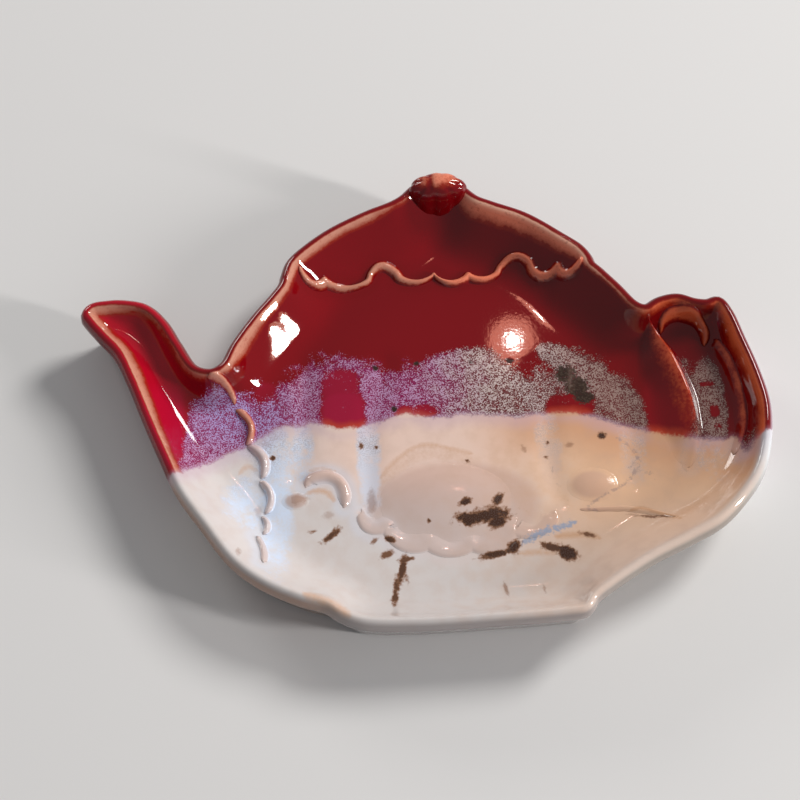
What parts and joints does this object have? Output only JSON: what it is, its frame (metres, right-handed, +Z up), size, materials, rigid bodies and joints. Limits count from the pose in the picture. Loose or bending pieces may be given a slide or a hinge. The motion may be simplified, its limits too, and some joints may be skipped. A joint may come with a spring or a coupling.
{
  "type": "tea bag rest",
  "caption": "Shallow glazed stoneware dish in the outline of a teapot, which holds a wet tea bag or a spoon beside the cup.",
  "frame": {"origin": "on the table, under the middle of the dish's outline", "axes": "+Z up out of the dish, -X to the spout's tip, +X to the handle, +Y to the knob"},
  "size_m": [0.1184, 0.0854, 0.015],
  "materials": {
    "dish_glaze": "gloss",
    "crimson_glaze": "gloss",
    "tan_glaze": "gloss",
    "cream_glaze": "gloss",
    "iron_glaze": "gloss"
  },
  "bodies": {
    "root": {"dish": "dish_glaze", "lid_knob": "crimson_glaze", "lid_scallops": "tan_glaze", "spout_scallops": "tan_glaze", "belly_edge": "crimson_glaze", "handle_loop": "tan_glaze", "handle_rib": "crimson_glaze", "flower_dome": "cream_glaze", "petal_skirt": "cream_glaze", "left_bud": "cream_glaze", "left_leaf": "iron_glaze", "right_bud": "cream_glaze", "right_stem": "iron_glaze"}
  },
  "joints": []
}
